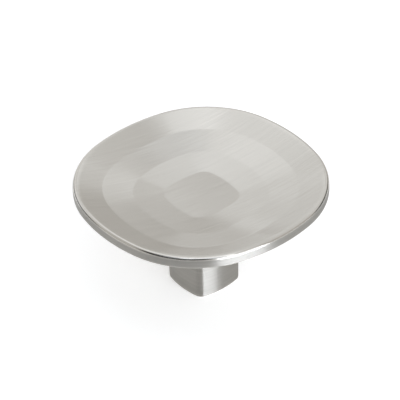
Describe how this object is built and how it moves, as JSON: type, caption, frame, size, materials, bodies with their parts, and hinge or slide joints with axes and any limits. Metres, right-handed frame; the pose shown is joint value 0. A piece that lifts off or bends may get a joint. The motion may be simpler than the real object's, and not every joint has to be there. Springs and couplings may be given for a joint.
{
  "type": "cabinet knob",
  "caption": "Dished square cabinet knob with bowed sides, round corners and a rounded lip, on a square stem tapped in its base for a screw through the door.",
  "frame": {"origin": "centre of the stem's base face, on the axis of the tapped hole", "axes": "+Z out of the door along the hole's axis, from the base to the dished head; X and Y square to the flats of head and stem"},
  "size_m": [0.048, 0.048, 0.0239],
  "materials": {
    "satin_nickel": "straight-brushed satin nickel plate"
  },
  "bodies": {
    "root": {"knob": "satin_nickel"}
  },
  "joints": []
}
